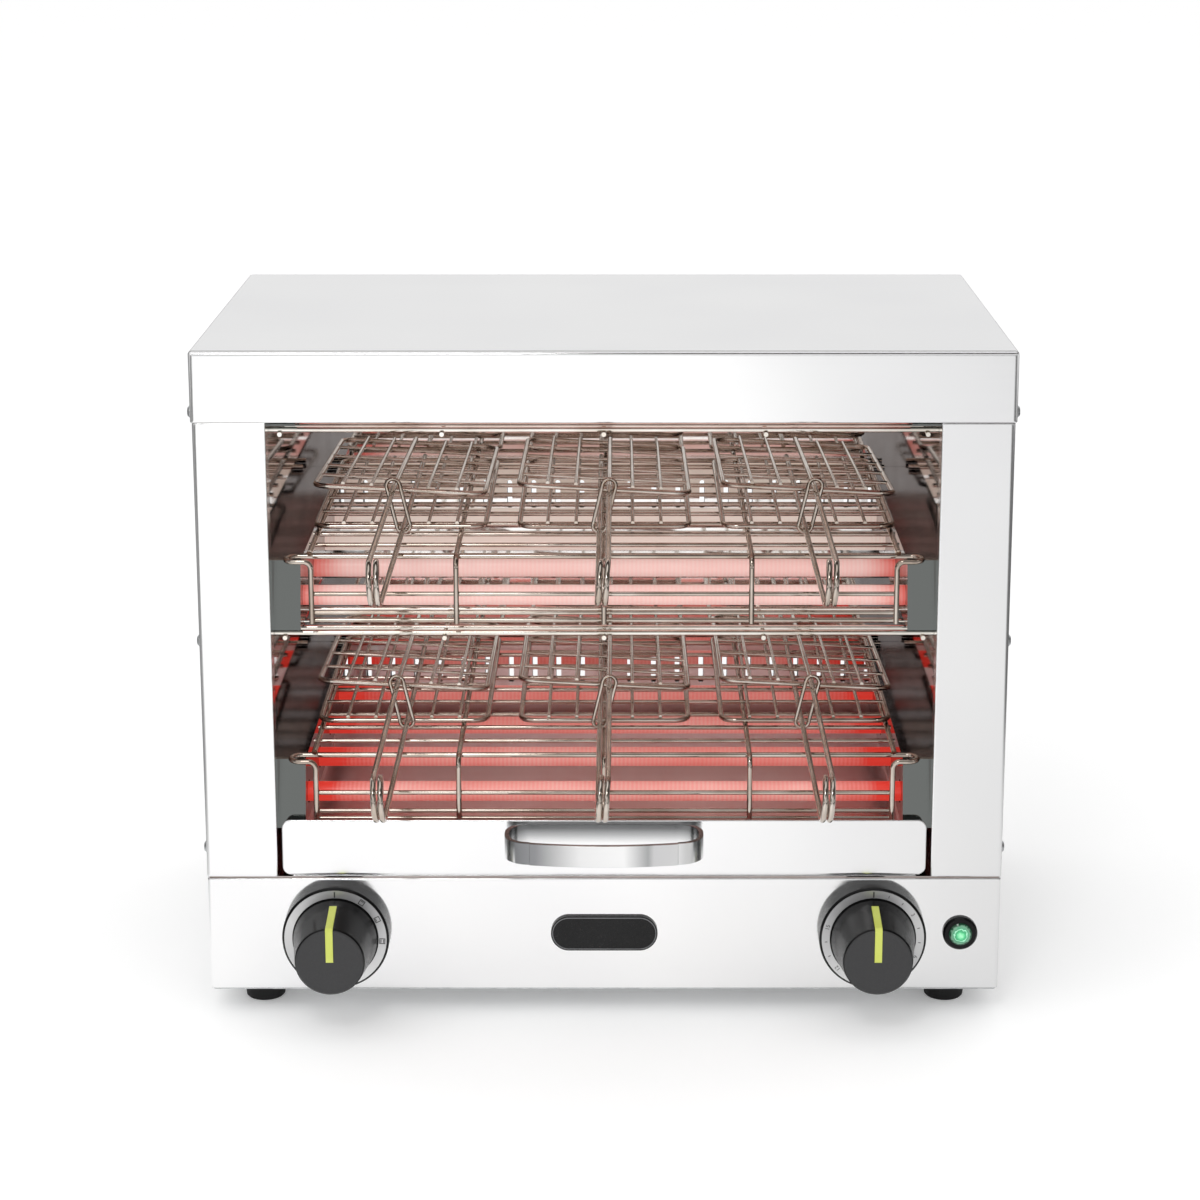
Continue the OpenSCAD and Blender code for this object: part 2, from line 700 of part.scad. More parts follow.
// Spring coil between the arms: one tube on a helix about X with straight ends along the arms.
// Each station is a point on the tube's centre line and the outward direction there.
function coil_stations(hand) = concat(
  [[[hand * arm_x, arm_start, lower_z], [0, 0, -1]]],
  [for (k = [0:coil_turns * coil_rings])
    let (a = 360 * k / coil_rings, out = [0, -sin(a), -cos(a)])
    [[hand * (arm_x - coil_pitch * k / coil_rings), -coil_out, lower_z + coil_r] + coil_r * out, out]],
  [[[-hand * arm_x, arm_start, upper_z], [0, 0, 1]]]
);
function coil_points(hand) = [
  for (s = coil_stations(hand), j = [0:coil_sides - 1])
    let (u = 360 * j / coil_sides)
    s[0] + arm_wire / 2 * (cos(u) * s[1] + [sin(u), 0, 0])
];
function coil_faces() = let (
  n = coil_sides,
  last = coil_turns * coil_rings + 2
) concat(
  [for (k = [0:last - 1], j = [0:n - 1]) [k * n + j, (k + 1) * n + j, (k + 1) * n + (j + 1) % n]],
  [for (k = [0:last - 1], j = [0:n - 1]) [k * n + j, (k + 1) * n + (j + 1) % n, k * n + (j + 1) % n]],
  [for (j = [1:n - 2]) [0, j, j + 1]],
  [for (j = [1:n - 2]) [last * n, last * n + j + 1, last * n + j]]
);
// Least clear gap between stretches of the coil that are half a turn or more apart
function coil_gap() = let (s = coil_stations(1), apart = coil_rings / 2)
  min([for (i = [0:len(s) - 1 - apart], j = [i + apart:len(s) - 1]) norm(s[i][0] - s[j][0])]) - arm_wire;

module tongs_coil(i) {
  color("lightgray") tongs_place(i) polyhedron(coil_points(tongs_hand(i)), coil_faces());
}

// Lock link: a leaning oval of wire round both arms
module tongs_link(i) {
  hand = tongs_hand(i);
  rise = link_high - link_low;
  length = norm([2 * arm_x, rise]);
  color("lightgray") tongs_place(i) translate([hand * arm_x, link_front, link_low])
    rotate([0, -hand * atan2(2 * arm_x, rise), 0]) {
      for (s = [-1, 1]) rod_z(s * link_r, 0, 0, length, link_wire);
      rotate([90, 0, 0]) bent(link_r, 180, 180, link_wire);
      translate([0, 0, length]) rotate([90, 0, 0]) bent(link_r, 0, 180, link_wire);
    }
}

// Crumb tray
module crumb_tray() {
  color("gainsboro") place() {
    plate_y(0, sheet) translate([0, tray_front_z]) intersection() {
      arch(tray_w, 0, tray_front_h, tray_corner);
      translate([0, tray_front_h]) mirror([0, 1]) arch(tray_w, 0, tray_front_h, tray_corner);
    }
    difference() {
      translate([-pan_w / 2, sheet, tray_z]) cube([pan_w, chamber_d - pan_rear - sheet, pan_h]);
      translate([-pan_w / 2 + sheet, 2 * sheet, tray_z + sheet])
        cube([pan_w - 2 * sheet, chamber_d - pan_rear - 3 * sheet, pan_h]);
    }
  }
}

// Outline of the handle's bow, drawn in by a margin
module bow(margin) {
  r = handle_corner - margin;
  intersection() {
    translate([-handle_w / 2 + margin, -handle_out]) square([handle_w - 2 * margin, handle_out - margin]);
    translate([0, handle_bow - handle_out]) circle(r = handle_bow - margin, $fn = 360);
    union() {
      translate([-handle_w / 2 + handle_corner, -handle_out]) square([handle_w - 2 * handle_corner, handle_out]);
      translate([-handle_w / 2, -handle_out / 2]) square([handle_w, handle_out / 2 - handle_corner]);
      for (s = [-1, 1]) {
        translate([s * (handle_w / 2 - handle_corner), -handle_corner]) circle(r = r);
        translate([s * (handle_w / 2 - handle_corner), -handle_out / 2]) circle(r = r);
      }
    }
  }
}

module tray_handle() {
  color("silver") place() translate([0, 0, handle_z]) linear_extrude(handle_h) difference() {
    bow(0);
    bow(handle_strip);
  }
}

// Controls
function knob_side_r(z) =
  knob_r + (knob_face_r - knob_r) * (z - knob_back - 2) / (knob_top - knob_edge - knob_back - 2);

module pointer_strip() {
  proud = 0.3;
  deep = 1;
  foot = knob_back + 8;
  rotate([90, 0, 90]) translate([0, 0, -pointer_w / 2]) linear_extrude(pointer_w) polygon([
    [knob_side_r(foot) + proud, foot], [knob_face_r + proud, knob_top - knob_edge],
    [knob_face_r - knob_edge + proud, knob_top + proud], [0, knob_top + proud], [0, knob_top - deep],
    [knob_face_r - knob_edge - deep, knob_top - deep], [knob_side_r(foot) - deep, foot]
  ]);
}

// Knob with its stem along +Z out of the panel
module knob() {
  difference() {
    rotate_extrude() polygon([
      [0, -stem_in], [stem_r, -stem_in], [stem_r, knob_back], [knob_r, knob_back], [knob_r, knob_back + 2],
      [knob_face_r, knob_top - knob_edge], [knob_face_r - knob_edge, knob_top], [0, knob_top]
    ]);
    pointer_strip();
  }
}

module selector_knob() {
  color("dimgray") on_front(-knob_x, knob_z) knob();
}

module timer_knob() {
  color("dimgray") on_front(knob_x, knob_z) knob();
}

module selector_pointer() {
  color("yellowgreen") on_front(-knob_x, knob_z) pointer_strip();
}

module timer_pointer() {
  color("yellowgreen") on_front(knob_x, knob_z) pointer_strip();
}

module knob_bezels() {
  color("black") for (s = [-1, 1]) on_front(s * knob_x, knob_z) rotate_extrude() polygon([
    [2 * stem_r, 0], [bezel_r, 0], [bezel_r, bezel_t - 1], [bezel_r - 0.8, bezel_t], [ring_out, bezel_t],
    [ring_out, bezel_t - groove], [ring_in, bezel_t - groove], [ring_in, bezel_t], [2 * stem_r, bezel_t]
  ]);
}

module dial_rings() {
  color("silver") for (s = [-1, 1]) on_front(s * knob_x, knob_z) translate([0, 0, bezel_t - groove])
    rotate_extrude() translate([ring_in, 0]) square([ring_out - ring_in, ring_t]);
}

// Box behind the panel with the bore that carries a knob's stem
module stem_box(size) {
  translate([0, 0, -sheet - size[1]]) difference() {
    translate([-size[0] / 2, -size[2] / 2, 0]) cube([size[0], size[2], size[1]]);
    translate([0, 0, size[1] + sheet - stem_in - 1]) cylinder(r = stem_r + run_fit, h = stem_in + eps);
  }
}

module selector_switch() {
  color("dimgray") on_front(-knob_x, knob_z) stem_box(switch_size);
}

module timer_unit() {
  color("gray") on_front(knob_x, knob_z) stem_box(timer_size);
}

module pilot_housing() {
  color("black") on_front(lamp_x, knob_z) rotate_extrude() polygon([
    [0, -lamp_depth], [lamp_neck_r, -lamp_depth], [lamp_neck_r, 0], [lamp_r, 0], [lamp_r, 1.5],
    [lamp_r - 1, 3], [lens_r + bore_fit, 3], [lens_r + bore_fit, 0.5], [0, 0.5]
  ]);
}

module pilot_lens() {
  dome_r = 1.6 * lens_r;
  color("limegreen") on_front(lamp_x, knob_z) translate([0, 0, 0.5]) rotate_extrude() intersection() {
    square([lens_r, 5]);
    translate([0, 5 - dome_r]) circle(r = dome_r);
  }
}

module name_plate() {
  color("black") on_front(0, knob_z) linear_extrude(plate_t) rotate(90) slot(plate_h, plate_w);
}

module terminal_block() {
  color("ivory") place() translate([-knob_x - block_size[0] / 2, block_y, base_z]) difference() {
    cube(block_size);
    for (x = [1, 2]) translate([x * block_size[0] / 3 - 1, -eps, block_size[2] / 2])
      cube([2, block_size[1] + 2 * eps, block_size[2]]);
  }
}

// Gland in the rear panel: nut inside, dome outside, bore for the mains lead
module cable_gland() {
  nut_t = 5;
  color("black") place() translate([-knob_x, body_d, gland_z]) rotate([-90, 0, 0]) difference() {
    union() {
      translate([0, 0, -sheet - nut_t]) cylinder(r = gland_r + 3, h = nut_t, $fn = 6);
      translate([0, 0, -sheet - nut_t]) cylinder(r = gland_r, h = nut_t + sheet + 1);
      cylinder(r = gland_r + 3, h = 4, $fn = 6);
      translate([0, 0, 4]) cylinder(r1 = gland_r + 2, r2 = gland_r - 1, h = gland_out - 4);
    }
    translate([0, 0, -nut_t - 2 * sheet]) cylinder(r = gland_bore, h = gland_out + nut_t + 3 * sheet);
  }
}

// Leads inside the control box: feed to the selector, selector to timer, timer to pilot lamp
module wiring() {
  feed_z = base_z + block_size[2] - 3;
  link_z = knob_z + 12;
  color("firebrick") place() {
    rod_y(-knob_x, sheet + switch_size[1], block_y, feed_z, lead_d);
    rod_x(-knob_x + switch_size[0] / 2, knob_x - timer_size[0] / 2, 20, link_z, lead_d);
    rod_x(knob_x + timer_size[0] / 2, lamp_x - lamp_neck_r - fit, 20, knob_z, lead_d);
  }
}

echo(least_gap_of_coil_to_itself = coil_gap());

top_cover();
side_panel_left();
side_panel_right();
rear_panel();
control_panel();
bottom_plate();
chamber_floor();
chamber_rear();
chamber_sides();
ceiling_reflector();
tube_covers();
quartz_tubes();
heater_cores();
tube_caps();
bus_bars();
rack_lower();
rack_upper();
tube_guards();
crumb_tray();
tray_handle();
selector_knob();
timer_knob();
selector_pointer();
timer_pointer();
knob_bezels();
dial_rings();
selector_switch();
timer_unit();
pilot_housing();
pilot_lens();
name_plate();
feet();
screws();
terminal_block();
cable_gland();
wiring();
for (i = [1:TONGS]) {
  tongs_lower(i);
  tongs_upper(i);
  tongs_coil(i);
  tongs_link(i);
}
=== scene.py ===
"""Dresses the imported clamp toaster: a finish for every solid, spring coils, screws, dial prints, a rim round the
plate and a studio."""

import math

import bpy
import numpy as np
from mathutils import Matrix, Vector


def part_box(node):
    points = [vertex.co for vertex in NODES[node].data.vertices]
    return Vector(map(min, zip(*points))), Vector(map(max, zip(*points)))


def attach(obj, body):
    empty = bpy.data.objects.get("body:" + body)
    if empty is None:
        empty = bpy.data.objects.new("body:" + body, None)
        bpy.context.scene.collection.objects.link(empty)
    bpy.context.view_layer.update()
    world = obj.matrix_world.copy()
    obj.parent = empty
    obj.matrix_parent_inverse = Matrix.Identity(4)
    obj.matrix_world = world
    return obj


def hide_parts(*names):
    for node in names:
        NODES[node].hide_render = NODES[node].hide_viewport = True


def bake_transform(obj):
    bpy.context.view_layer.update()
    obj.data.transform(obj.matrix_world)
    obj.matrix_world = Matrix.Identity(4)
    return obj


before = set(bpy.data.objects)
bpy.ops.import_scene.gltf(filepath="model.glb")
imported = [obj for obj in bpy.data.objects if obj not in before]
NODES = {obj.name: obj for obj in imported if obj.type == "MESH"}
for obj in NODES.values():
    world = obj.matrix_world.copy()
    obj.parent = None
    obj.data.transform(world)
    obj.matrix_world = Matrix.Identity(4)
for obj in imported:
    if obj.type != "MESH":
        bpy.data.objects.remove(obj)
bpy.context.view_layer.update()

# Places in metres that several pieces share, read from the solids
FRONT_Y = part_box("control_panel")[0].y
KNOB_LOW, KNOB_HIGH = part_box("timer_knob")
KNOB_X = (KNOB_LOW.x + KNOB_HIGH.x) / 2
KNOB_Z = (KNOB_LOW.z + KNOB_HIGH.z) / 2
TONGS = range(1, 7)


# Camera

# The photograph, 1200 pixels wide, was taken from 1.48 m before the front face and 0.65 m above the worktop
EYE = Vector((0.008, FRONT_Y - 1.477, 0.649))
PITCH = 13.1
FRAME_PX = 1200
FOCAL_PX = 2842
SENSOR_MM = 36
camera_data = bpy.data.cameras.new("camera")
camera_data.sensor_width = SENSOR_MM
camera_data.lens = SENSOR_MM * FOCAL_PX / FRAME_PX
camera_data.shift_x = -0.0156
camera_data.shift_y = -0.1
camera = bpy.data.objects.new("camera", camera_data)
camera.location = EYE
camera.rotation_euler = (math.radians(90 - PITCH), 0, 0)
bpy.context.scene.collection.objects.link(camera)
bpy.context.scene.camera = camera


# Nodes


def linear(code):
    """Linear RGBA of an sRGB hex colour."""
    srgb = [int(code[i : i + 2], 16) / 255 for i in (1, 3, 5)]
    return tuple(c / 12.92 if c <= 0.04045 else ((c + 0.055) / 1.055) ** 2.4 for c in srgb) + (1,)


def feed(tree, node, inputs):
    """Sets a node's inputs: a link where the value is a socket, a constant elsewhere."""
    for key, value in inputs.items():
        if isinstance(value, bpy.types.NodeSocket):
            tree.links.new(value, node.inputs[key])
        else:
            node.inputs[key].default_value = value


def add(tree, kind, inputs=None, **settings):
    """Adds a node: settings go to its own properties, inputs to its sockets."""
    made = tree.nodes.new("ShaderNode" + kind)
    for name, value in settings.items():
        setattr(made, name, value)
    feed(tree, made, inputs or {})
    return made


def start(name):
    """An empty material with its node tree, its shader, its output and Object coordinates."""
    material = bpy.data.materials.new(name)
    material.use_nodes = True
    tree = material.node_tree
    tree.nodes.clear()
    shader = add(tree, "BsdfPrincipled")
    add(tree, "OutputMaterial", {"Surface": shader.outputs[0]})
    where = add(tree, "TexCoord").outputs["Object"]
    return material, tree, shader, where


def ramp(tree, value, stops):
    """Colour ramp over a value: stops are (place, sRGB hex) pairs."""
    made = add(tree, "ValToRGB", {"Fac": value})
    elements = made.color_ramp.elements
    while len(elements) < len(stops):
        elements.new(0.5)
    for element, (place, code) in zip(elements, stops):
        element.position = place
        element.color = linear(code)
    return made.outputs["Color"]


def spread(tree, value, low, high, start_at=0.0, end_at=1.0):
    """Maps the range from start_at to end_at onto low to high."""
    limits = {"Value": value, "From Min": start_at, "From Max": end_at, "To Min": low, "To Max": high}
    return add(tree, "MapRange", limits).outputs["Result"]


def calc(tree, operation, *values):
    """Result of an operation on numbers and sockets."""
    return add(tree, "Math", dict(enumerate(values)), operation=operation).outputs[0]


def mix(tree, share, first, second):
    """Colour that goes from the first to the second as the share goes from 0 to 1."""
    return add(tree, "Mix", {0: share, 6: first, 7: second}, data_type="RGBA").outputs[2]


def noise(tree, where, scale, detail, roughness=0.5):
    """Noise over a position."""
    inputs = {"Vector": where, "Scale": scale, "Detail": detail, "Roughness": roughness}
    return add(tree, "TexNoise", inputs).outputs["Fac"]


def axes(tree, where):
    """The three coordinates of a position, by letter."""
    return add(tree, "SeparateXYZ", {"Vector": where}).outputs


def placed(tree, where, **settings):
    """A position that is moved by its Location and stretched by its Scale."""
    return add(tree, "Mapping", {"Vector": where, **settings}).outputs[0]


def off_axis(tree, first, second):
    """Distance from an axis, out of the two offsets across it."""
    flat = add(tree, "CombineXYZ", {"X": first, "Y": second}).outputs[0]
    return add(tree, "VectorMath", {0: flat}, operation="LENGTH").outputs["Value"]


def rounded_edge(tree, radius, samples):
    """Normal that rounds sharp edges by a radius."""
    return add(tree, "Bevel", {"Radius": radius}, samples=samples).outputs[0]


def bump(tree, height, strength, distance, **normal):
    """Normal that follows a height, on top of another Normal where one is given."""
    inputs = {"Height": height, "Strength": strength, "Distance": distance, **normal}
    return add(tree, "Bump", inputs).outputs[0]


def ray_kinds(tree):
    """Whether a ray comes from the eye, and whether it comes from gloss or glass."""
    path = add(tree, "LightPath").outputs
    return path["Is Camera Ray"], calc(tree, "ADD", path["Is Glossy Ray"], path["Is Transmission Ray"])


# Meshes


def dress(material, *names):
    """Puts a material on CAD nodes."""
    for name in names:
        data = NODES[name].data
        data.materials.clear()
        data.materials.append(material)


def grid_faces(rows, columns, loop):
    """Quads between neighbouring points of a grid whose last column joins the first. With loop, the last row joins
    the first as well."""
    r, c = np.meshgrid(np.arange(rows if loop else rows - 1), np.arange(columns), indexing="ij")
    below, beside = (r + 1) % rows, (c + 1) % columns
    corners = [r * columns + c, r * columns + beside, below * columns + beside, below * columns + c]
    return np.stack(corners, -1).reshape(-1, 4)


def tube(path, outward, radius, sides, loop=False):
    """Circle of a radius carried along a path: at each station it is spanned by the outward direction there and by
    the cross product of the path's direction with it. Fans close the two ends, unless the path is a loop."""
    path, outward = np.asarray(path, float), np.asarray(outward, float)
    if loop:
        along = np.roll(path, -1, axis=0) - np.roll(path, 1, axis=0)
    else:
        along = np.gradient(path, axis=0)
    along /= np.linalg.norm(along, axis=1)[:, None]
    outward = outward - (outward * along).sum(1)[:, None] * along
    outward /= np.linalg.norm(outward, axis=1)[:, None]
    across = np.cross(along, outward)
    turn = np.linspace(0, 2 * np.pi, sides, endpoint=False)
    ring = np.cos(turn)[None, :, None] * outward[:, None] + np.sin(turn)[None, :, None] * across[:, None]
    points = (path[:, None] + radius * ring).reshape(-1, 3)
    faces = grid_faces(len(path), sides, loop).tolist()
    if not loop:
        last = (len(path) - 1) * sides
        faces.append(list(range(sides))[::-1])
        faces.append([last + i for i in range(sides)])
    return points, faces


def mesh_piece(name, parts, material, body, smooth=True):
    """One piece made of several pairs of points and faces, riding on a body where one is named."""
    starts = np.cumsum([0] + [len(points) for points, _ in parts])
    points = np.concatenate([points for points, _ in parts])
    faces = [[i + first for i in face] for (_, part), first in zip(parts, starts) for face in part]
    mesh = bpy.data.meshes.new(name)
    mesh.from_pydata(points.tolist(), [], faces)
    mesh.validate()
    mesh.polygons.foreach_set("use_smooth", np.full(len(mesh.polygons), smooth))
    mesh.materials.append(material)
    made = bpy.data.objects.new(name, mesh)
    bpy.context.scene.collection.objects.link(made)
    if body:
        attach(made, body)
    return made


def merged_points(mesh, digits):
    """A mesh's points with equal ones merged after rounding, and the new number of each old one."""
    flat = np.empty(len(mesh.vertices) * 3)
    mesh.vertices.foreach_get("co", flat)
    points, same = np.unique(np.round(flat.reshape(-1, 3), digits), axis=0, return_inverse=True)
    return points, same.reshape(-1)


# Metals


def polished_stainless(name, dull_from=None):
    """Stainless sheet, bright polished after rolling: a soft mirror with a trace of rolling grain along X and the
    faint waviness of thin sheet, 110 mm from crest to crest. The grain is drawn 2 mm wide, because the real
    0.2 mm lines are too fine to show. Behind dull_from, where one is given, scouring has dulled it."""
    material, tree, shader, where = start(name)
    grain = noise(tree, placed(tree, where, Scale=(6, 500, 500)), 1, 3)
    wave = noise(tree, where, 9, 1)
    rough = spread(tree, grain, 0.09, 0.15)
    if dull_from is not None:
        dull = spread(tree, axes(tree, where)["Y"], 0, 0.24, dull_from, dull_from + 0.002)
        rough = calc(tree, "ADD", rough, dull)
    wavy = bump(tree, wave, 0.25, 0.0006, Normal=rounded_edge(tree, 0.0014, 8))
    finish = {
        "Base Color": ramp(tree, wave, [(0.3, "#f2f2f3"), (0.7, "#f8f8f8")]),
        "Roughness": rough,
        "Metallic": 1,
        "Normal": bump(tree, grain, 0.015, 0.0002, Normal=wavy),
    }
    feed(tree, shader, finish)
    return material


def annealed_liner(name, clear, straw, brown, foot=0.0):
    """Bright-annealed steel of the chamber: a clear mirror that heat has tinted straw and brown in soft clouds,
    about 60 mm across. Below the height of the foot, where crumbs burn on, it is dull."""
    material, tree, shader, where = start(name)
    cloud = noise(tree, where, 16, 4, 0.6)
    clean = spread(tree, noise(tree, where, 260, 2), 0.02, 0.06)
    burnt = spread(tree, axes(tree, where)["Z"], 0.45, 0, foot - 0.008, foot + 0.004)
    finish = {
        "Base Color": ramp(tree, cloud, [(0.30, brown), (0.55, clear), (0.75, straw)]),
        "Roughness": calc(tree, "ADD", clean, burnt),
        "Metallic": 1,
    }
    feed(tree, shader, finish)
    return material


def zinc_sheet():
    """Zinc-coated sheet and screws: dull grey metal with spangles of about 5 mm."""
    material, tree, shader, where = start("zinc_sheet")
    spangle = add(tree, "TexVoronoi", {"Vector": where, "Scale": 200}).outputs["Color"]
    finish = {
        "Base Color": ramp(tree, spangle, [(0.2, "#b3b5b7"), (0.8, "#cfd1d2")]),
        "Roughness": spread(tree, spangle, 0.26, 0.38),
        "Metallic": 1,
    }
    feed(tree, shader, finish)
    return material


def plated_wire(name, light, dark):
    """Nickel-chrome plated spring wire, drawn and plated: a bright mirror, warm where heat has straw-tinted it in
    patches of about 25 mm, with drawing lines too fine to see that only soften its gloss."""
    material, tree, shader, where = start(name)
    patch = noise(tree, where, 40, 3)
    finish = {
        "Base Color": ramp(tree, patch, [(0.35, dark), (0.65, light)]),
        "Roughness": spread(tree, patch, 0.05, 0.1),
        "Metallic": 1,
    }
    feed(tree, shader, finish)
    return material


def pressed_handle():
    """Stainless strip, pressed and tumbled: its polished outside carries painted reflections, long soft light and
    dark bands along it, darkest towards the left end. Its inside is painted grey that darkens towards the top edge
    as painted shade and turns white towards the lower edge as a painted reflection of the tray front. The strip's
    outside lies on a circle of 220 mm about a point behind the handle, so the distance from that point tells the
    two sides apart."""
    material, tree, shader, where = start("pressed_handle")
    low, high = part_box("tray_handle")
    bow, strip = 0.220, 0.0025
    half = (high.x - low.x) / 2
    centre = Vector(((low.x + high.x) / 2, low.y + bow, 0))
    parts = axes(tree, placed(tree, where, Location=-centre))
    away = off_axis(tree, parts["X"], parts["Y"])
    outside = spread(tree, away, 0, 1, bow - strip * 0.8, bow - strip * 0.6)
    along = spread(tree, parts["X"], 0, 1, -half, half)
    # Painted reflections: light and dark bands along the outside, darkest towards the left end.
    bands = [(0.0, "#77787a"), (0.16, "#8d8e90"), (0.38, "#e2e2e2"), (0.6, "#eeeeee")]
    bands += [(0.72, "#a8a9aa"), (0.75, "#cdcdce"), (0.93, "#dcdcdc"), (1.0, "#8c8d8f")]
    painted_reflection_bands = ramp(tree, along, bands)
    height = spread(tree, parts["Z"], 0, 1, low.z, high.z)
    # Painted shade and painted reflection on the inside: white towards the lower edge, darkening towards the top.
    inner_painted_shading = ramp(tree, height, [(0.1, "#f4f4f4"), (0.5, "#b4b5b6"), (0.8, "#7b7c7d"), (1.0, "#6f7071")])
    grain = noise(tree, placed(tree, where, Scale=(20, 20, 900)), 1, 3)
    finish = {
        "Base Color": mix(tree, outside, inner_painted_shading, painted_reflection_bands),
        "Roughness": spread(tree, grain, 0.18, 0.27),
        "Metallic": 1,
        "Normal": rounded_edge(tree, 0.0004, 4),
    }
    feed(tree, shader, finish)
    return material


def blued_channel():
    """Heat-blued steel channels over the tubes' ends: a dark mirror that heat has browned in blooms 30 mm across,
    and the front ends, which lean back by 11 mm, painted a lighter plain grey as painted light."""
    material, tree, shader, where = start("blued_channel")
    lean_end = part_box("tube_covers")[0].y + 0.011
    bloom = noise(tree, where, 30, 4)
    brown = ramp(tree, bloom, [(0.3, "#40373a"), (0.7, "#4f4648")])
    # Painted light: the front ends are painted a lighter plain grey than the dark mirror behind them.
    deep = spread(tree, axes(tree, where)["Y"], 0, 1, lean_end, lean_end + 0.001)
    finish = {
        "Base Color": mix(tree, deep, linear("#767977"), brown),
        "Roughness": spread(tree, bloom, 0.04, 0.09),
        "Metallic": 1,
    }
    feed(tree, shader, finish)
    return material


def rolled_brass():
    """Rolled brass strip of the bus bars: yellow metal with fine rolling lines along the strip."""
    material, tree, shader, where = start("rolled_brass")
    grain = noise(tree, placed(tree, where, Scale=(300, 8, 900)), 1, 2)
    finish = {
        "Base Color": ramp(tree, grain, [(0.3, "#b8974f"), (0.7, "#cfb067")]),
        "Roughness": spread(tree, grain, 0.25, 0.38),
        "Metallic": 1,
    }
    feed(tree, shader, finish)
    return material


def dial_aluminium():
    """Aluminium dial ring, turned and clear-coated: satin grey with turning lines round each knob's axis, drawn
    0.5 mm apart, and broad light and dark parts round each axis, painted highlights and painted shade of the
    turned face. The two dials stand mirrored about X, so one pattern on the size of X serves both."""
    material, tree, shader, where = start("dial_aluminium")
    parts = axes(tree, where)
    off_x = calc(tree, "SUBTRACT", calc(tree, "ABSOLUTE", parts["X"]), KNOB_X)
    off_z = calc(tree, "SUBTRACT", parts["Z"], KNOB_Z)
    flat = add(tree, "CombineXYZ", {"X": off_x, "Y": off_z}).outputs[0]
    rings = {"wave_type": "RINGS", "rings_direction": "SPHERICAL"}
    lines = add(tree, "TexWave", {"Vector": flat, "Scale": 320}, **rings).outputs["Fac"]
    turned = add(tree, "TexGradient", {"Vector": flat}, gradient_type="RADIAL").outputs["Fac"]
    # Painted highlights and painted shade: light and dark parts round each knob's axis, in the base colour.
    painted_sheen_sectors = [(0.0, "#c9c9ca"), (0.18, "#e6e6e6"), (0.3, "#b4b4b5"), (0.55, "#d9d9d9"), (0.78, "#acacad")]
    painted_sheen_sectors += [(1.0, "#c9c9ca")]
    finish = {
        "Base Color": ramp(tree, turned, painted_sheen_sectors),
        "Roughness": spread(tree, lines, 0.28, 0.38),
        "Metallic": 0.9,
        "Normal": bump(tree, lines, 0.1, 0.00005),
    }
    feed(tree, shader, finish)
    return material


# Plastics, rubber, ceramic and quartz


def moulded(name, dark, light, low, high, grit, depth, gloss=0.5):
    """Injection-moulded plastic: a spark-eroded grain of grit millimetres breaks its gloss, and its colour shifts
    a little from place to place."""
    material, tree, shader, where = start(name)
    spark = noise(tree, where, 1000 / grit, 2)
    shift = noise(tree, where, 45, 2)
    finish = {
        "Base Color": ramp(tree, shift, [(0.3, dark), (0.7, light)]),
        "Roughness": spread(tree, spark, low, high),
        "Specular IOR Level": gloss,
        "Normal": bump(tree, spark, depth, 0.0001, Normal=rounded_edge(tree, 0.0005, 4)),
    }
    feed(tree, shader, finish)
    return material


def knob_phenolic():
    """Black phenolic knob: the skirt comes polished out of the mould, the end face is spark-eroded to a charcoal
    satin. The face is everything within half a millimetre of the knob's front."""
    material, tree, shader, where = start("knob_phenolic")
    skirt = spread(tree, axes(tree, where)["Y"], 0, 1, KNOB_LOW.y + 0.0003, KNOB_LOW.y + 0.0006)
    spark = noise(tree, where, 2000, 2)
    face = ramp(tree, spark, [(0.3, "#363637"), (0.7, "#3f3f40")])
    finish = {
        "Base Color": mix(tree, skirt, face, linear("#0a0a0b")),
        "Roughness": spread(tree, skirt, 0.5, 0.26),
        "Specular IOR Level": 0.3,
        "Normal": bump(tree, spark, 0.03, 0.0001, Normal=rounded_edge(tree, 0.0006, 4)),
    }
    feed(tree, shader, finish)
    return material


